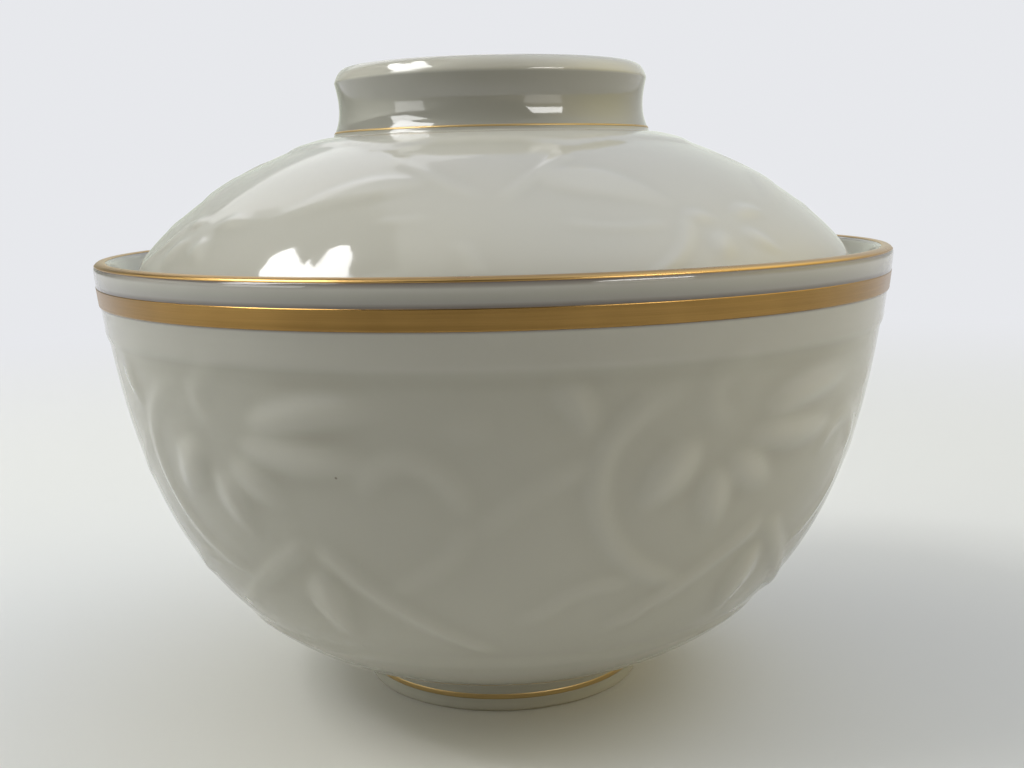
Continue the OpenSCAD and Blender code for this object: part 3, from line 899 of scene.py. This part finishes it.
knob_line_low_z = knob_seat_z + 0.1
knob_line_top_z = knob_seat_z + 0.36
knob_gold_line, knob_out = stretch(knob_curve, knob_line_low_z, knob_line_top_z, 2)
gilding("gold_knob_line", knob_gold_line, knob_out, worn_gold, "lid", "knob_gilding")

gilded_lip = lip_line[2:8]
lip_out = [(point - lip_centre).normalized() for point in gilded_lip]
gilding("gold_lip", gilded_lip, lip_out, line_gold, "bowl", "lip_gilding")


# Table: a pale, dull sheet that the bowl stands on. It keeps the bowl's shadow, and fades into the
# pale room behind it. Lengths from here on are in metres.

floor_r = 3
floor_sides = 96
table_colour = (0.735, 0.735, 0.72)
room_pale = (0.80, 0.81, 0.84)
fade_start = 0.16
fade_end = 0.52

floor_angles = [math.tau * i / floor_sides for i in range(floor_sides)]
floor = new_object("floor", [(floor_r * math.cos(a), floor_r * math.sin(a), 0) for a in floor_angles],
                   faces=[range(floor_sides)])
floor_finish, tree = new_finish("pale table")
distance = tree.length(tree.node("ShaderNodeTexCoord", out="Object"))
far = tree.node("ShaderNodeMapRange", {"Value": distance, "From Min": fade_start, "From Max": fade_end},
                interpolation_type="SMOOTHSTEP")
table = tree.node("ShaderNodeBsdfDiffuse", {"Color": (*table_colour, 1)})
room = tree.node("ShaderNodeEmission", {"Color": (*room_pale, 1), "Strength": 1.0})
rays = tree.node("ShaderNodeLightPath", out="Is Camera Ray")
seen = rays.at_least(rays.beside("Is Glossy Ray")).at_least(rays.beside("Is Transmission Ray"))
shader = tree.node("ShaderNodeMixShader", {0: far * seen, 1: table, 2: room})
tree.node("ShaderNodeOutputMaterial", {"Surface": shader})
floor.data.materials.append(floor_finish)


# Room: the camera sees it pale and even. The bowl is lit by soft light from its sides, each given
# as an azimuth, an elevation and a colour. Azimuth 0 is toward the camera and grows to the right.

glow_sharpness = 6.0
room_sides = [(180, 8, (0.8, 0.85, 0.7)), (135, 8, (0.3, 0.3, 0.35)), (90, 8, (0.4, 0.35, 0.05)),
              (45, 8, (0.85, 0.75, 0.55)), (180, 45, (0, 0, 0.2)), (135, 45, (0.3, 0.35, 0.35)),
              (90, 30, (1.05, 0.9, 0.5)), (-90, 30, (1.9, 1.9, 1.65)), (-90, 60, (0.35, 0.35, 0.3)),
              (-70, 12, (0.55, 0.55, 0.5)), (90, 60, (0.75, 0.9, 1.25)), (0, 70, (0.25, 0.25, 0.25))]


def bearing(azimuth, elevation):
    """A unit direction."""
    az = math.radians(azimuth)
    el = math.radians(elevation)
    return Vector((math.cos(el) * math.sin(az), -math.cos(el) * math.cos(az), math.sin(el)))


world = bpy.data.worlds.new("room")
bpy.context.scene.world = world
world.use_nodes = True
world.node_tree.nodes.clear()
tree = Tree(world.node_tree)
look = tree.node("ShaderNodeTexCoord", out="Generated")
room_light = (0.0, 0.0, 0.0)
for azimuth, elevation, colour in room_sides:
    toward = tree.node("ShaderNodeVectorMath", {0: look, 1: bearing(azimuth, elevation)},
                       out="Value", operation="DOT_PRODUCT").at_least(0.0)
    room_light = tree.sum(room_light, tree.scaled(colour, toward ** glow_sharpness))
light = tree.mix(tree.node("ShaderNodeLightPath", out="Is Camera Ray"), room_light, room_pale)
tree.node("ShaderNodeOutputWorld", {"Surface": tree.node("ShaderNodeBackground", {"Color": light})})


# Window: a bright pane high on the left, seen only in the glaze. Its notched outline is given by
# bearings from the place on the lid that mirrors it. A lamp beside it gives its light.

window_strength = 11.7
window_bearings = [(-75, 30), (-91.5, 37.5), (-101, 42.5), (-111.5, 47), (-115, 50), (-115, 52.5),
                   (-104.5, 53), (-94.5, 52.5), (-101.5, 55.5), (-88, 54), (-95, 57), (-107, 59.5),
                   (-109.5, 61.5), (-106.5, 64), (-95, 64), (-60, 52), (-50, 45)]
mirror_place = Vector((-0.024, -0.047, 0.066))
lamp_aim_z = 0.05

window = new_object("window", [mirror_place + bearing(az, el) for az, el in window_bearings],
                    faces=[range(len(window_bearings))])
window_light, tree = new_finish("window light")
tree.node("ShaderNodeOutputMaterial", {
    "Surface": tree.node("ShaderNodeEmission", {"Strength": window_strength})})
window.data.materials.append(window_light)
window.visible_camera = False
window.visible_diffuse = False


def soft_lamp(name, azimuth, elevation, distance, width, height, power):
    """A lamp that faces the bowl from a bearing."""
    lamp = bpy.data.objects.new(name, bpy.data.lights.new(name, "AREA"))
    lamp.data.shape = "RECTANGLE"
    lamp.data.size = width
    lamp.data.size_y = height
    lamp.data.energy = power
    way = bearing(azimuth, elevation)
    lamp.location = way * distance + Vector((0, 0, lamp_aim_z))
    lamp.rotation_euler = way.to_track_quat("Z", "Y").to_euler()
    bpy.context.scene.collection.objects.link(lamp)
    return lamp


window_lamp = soft_lamp("window light", -80, 48, 1.0, 0.5, 0.4, 5.4)
window_lamp.data.shape = "ELLIPSE"
window_lamp.visible_glossy = False


# Small lamps that only show in the glaze, as the other windows of the room do: azimuth, elevation,
# distance, width, height and power.

glaze_lamps = {"low left": (-65, 28, 1.2, 0.62, 0.24, 3.9),
               "low left.dim": (-62, 11, 1.2, 0.5, 0.3, 1.3),
               "low right": (34, 23, 1.2, 0.82, 0.22, 5.6),
               "low right.dim": (38, 6, 1.2, 0.6, 0.25, 0.6),
               "backdrop": (-163, 38, 1.8, 1.1, 0.85, 2.2)}
for name, bearings_and_sizes in glaze_lamps.items():
    soft_lamp(name, *bearings_and_sizes).visible_diffuse = False


# Black cloths that no camera sees. One hangs over the front of the table and keeps light off it. The
# other hangs behind the window, and shows only as a darker patch in the glaze.

flag_z = 0.22
flag_corners = [(-0.35, -0.9, flag_z), (0.35, -0.9, flag_z), (0.12, -0.16, flag_z), (-0.35, -0.16, flag_z)]
curtain_reach = 2.2
curtain_bearings = ((-137, 16), (-58, 16), (-58, 68), (-137, 68))
curtain_corners = [bearing(az, el) * curtain_reach for az, el in curtain_bearings]

black_cloth, tree = new_finish("black cloth")
tree.node("ShaderNodeOutputMaterial", {
    "Surface": tree.node("ShaderNodeBsdfDiffuse", {"Color": (0.02, 0.02, 0.02, 1)})})
flag = new_object("flag", flag_corners, faces=[range(4)])
curtain = new_object("curtain", curtain_corners, faces=[range(4)])
for card in (flag, curtain):
    card.data.materials.append(black_cloth)
    card.visible_camera = False
curtain.visible_diffuse = False
curtain.visible_shadow = False

bpy.context.scene.view_settings.view_transform = "Standard"
